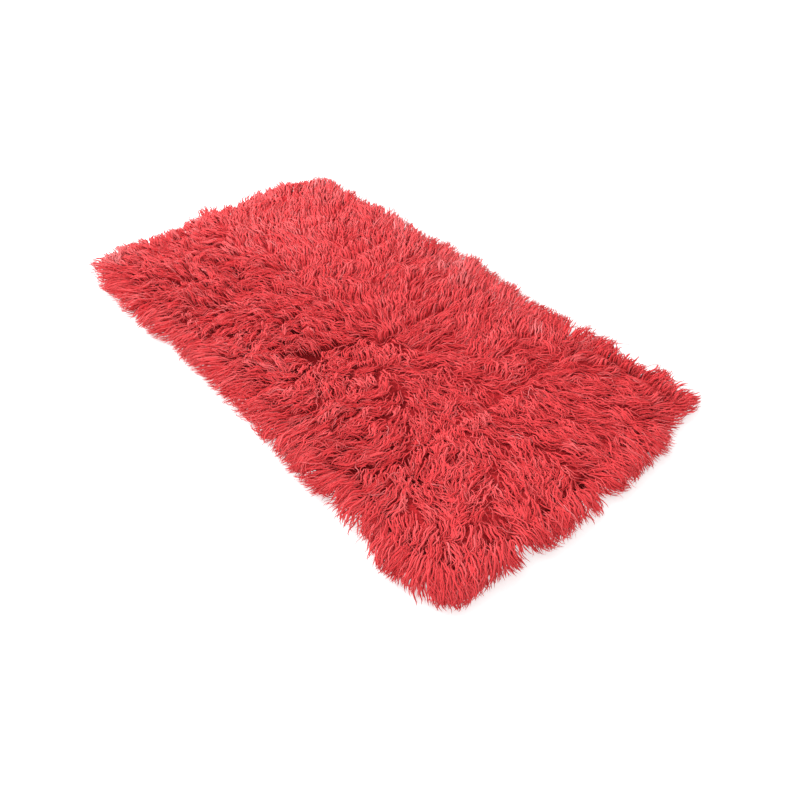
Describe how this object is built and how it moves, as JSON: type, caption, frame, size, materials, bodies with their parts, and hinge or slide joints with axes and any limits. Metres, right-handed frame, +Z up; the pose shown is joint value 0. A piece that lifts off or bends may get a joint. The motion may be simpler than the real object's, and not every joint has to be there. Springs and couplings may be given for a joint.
{
  "type": "long-pile wool shag rug",
  "caption": "Rectangular long-pile wool rug lying flat, with a lumpy top, soft fold troughs and loose pile locks around its rim.",
  "frame": {"origin": "on the floor under the middle of the rug", "axes": "+X across the rug's short side, +Y along its long side, +Z up from the floor"},
  "size_m": [0.8121, 1.5074, 0.0481],
  "materials": {
    "wool_pile": "matt dyed red wool in long crimped locks"
  },
  "bodies": {
    "root": {"shag_rug": "wool_pile"}
  },
  "joints": []
}
